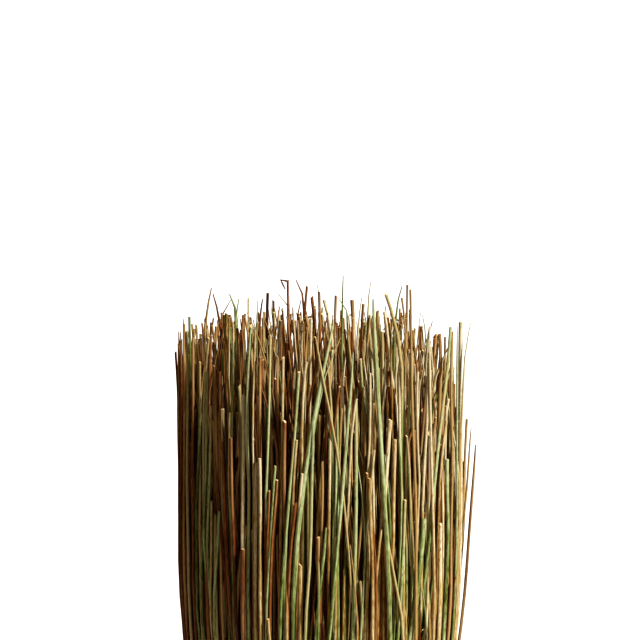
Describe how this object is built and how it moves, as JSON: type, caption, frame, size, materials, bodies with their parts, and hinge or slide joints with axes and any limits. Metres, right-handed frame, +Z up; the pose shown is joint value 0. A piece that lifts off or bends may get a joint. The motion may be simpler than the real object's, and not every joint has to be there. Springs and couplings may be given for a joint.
{
  "type": "bunch of soft rush",
  "caption": "Thick round bunch of dried rush stems in greens and browns, tied at the waist with twine and standing on its level cut ends.",
  "frame": {"origin": "middle of the level cut ends that the bunch stands on", "axes": "+Z up along the stems, -Y towards the side that the picture shows, +X to its right"},
  "size_m": [0.1654, 0.1598, 0.44],
  "materials": {
    "green_rush": "satin, finely ribbed",
    "straw_rush": "satin, finely ribbed",
    "brown_rush": "satin, finely ribbed",
    "rust_rush": "satin, finely ribbed",
    "mixed_rush": "satin, finely ribbed",
    "twine": "matt, hairy, twisted in three strands"
  },
  "bodies": {
    "root": {"stem_01": "brown_rush", "stem_02": "brown_rush", "stem_03": "rust_rush", "stem_04": "brown_rush", "stem_05": "green_rush", "stem_06": "brown_rush", "stem_07": "straw_rush", "stem_08": "straw_rush", "stem_09": "green_rush", "stem_10": "brown_rush", "stem_11": "green_rush", "stem_12": "straw_rush", "stem_13": "straw_rush", "stem_14": "rust_rush", "stem_15": "straw_rush", "stem_16": "straw_rush", "stem_17": "straw_rush", "stem_18": "green_rush", "stem_19": "rust_rush", "stem_20": "green_rush", "stem_21": "green_rush", "stem_22": "straw_rush", "stem_23": "straw_rush", "stem_24": "straw_rush", "stem_25": "green_rush", "stem_26": "straw_rush", "stem_27": "brown_rush", "stem_28": "straw_rush", "stem_29": "straw_rush", "stem_30": "straw_rush", "stem_31": "green_rush", "stem_32": "rust_rush", "stem_33": "green_rush", "stem_34": "brown_rush", "stem_35": "straw_rush", "stem_36": "brown_rush", "stem_37": "brown_rush", "stem_38": "straw_rush", "stem_39": "green_rush", "stem_40": "straw_rush", "stem_41": "rust_rush", "stem_42": "brown_rush", "stem_43": "straw_rush", "stem_44": "green_rush", "stem_45": "straw_rush", "stem_46": "rust_rush", "stem_47": "brown_rush", "stem_48": "straw_rush", "stem_49": "green_rush", "stem_50": "straw_rush", "stem_51": "rust_rush", "stem_52": "brown_rush", "stem_53": "straw_rush", "stem_54": "green_rush", "stem_55": "straw_rush", "stem_56": "rust_rush", "packed_stems": "mixed_rush", "twine": "twine"}
  },
  "joints": []
}
